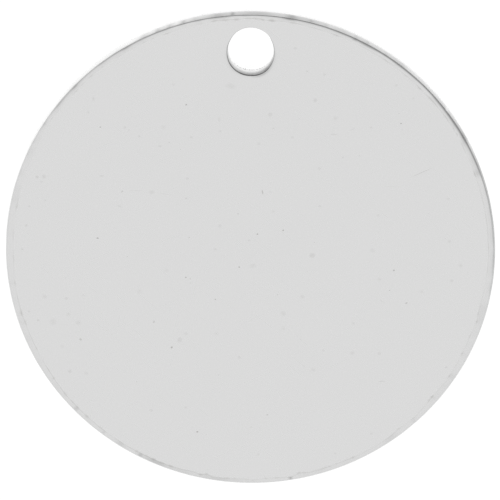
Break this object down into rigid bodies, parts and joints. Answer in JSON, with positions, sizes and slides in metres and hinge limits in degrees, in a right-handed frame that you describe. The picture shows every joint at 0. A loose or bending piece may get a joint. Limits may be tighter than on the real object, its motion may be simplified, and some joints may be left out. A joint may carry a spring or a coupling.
{
  "type": "disc pendant",
  "caption": "Flat round metal pendant blank with rounded edges and a hanging hole close to its rim, for a jump ring.",
  "frame": {"origin": "centre of the back face, on the disc's own axis", "axes": "+Z out of the front face along the disc's axis; +Y from the centre toward the hanging hole; +X to the right when the front is seen with the hole at the top"},
  "size_m": [0.02, 0.02, 0.001],
  "materials": {
    "silver": "tumbled satin silver, lightly pitted and scratched"
  },
  "bodies": {
    "root": {"disc": "silver"}
  },
  "joints": []
}
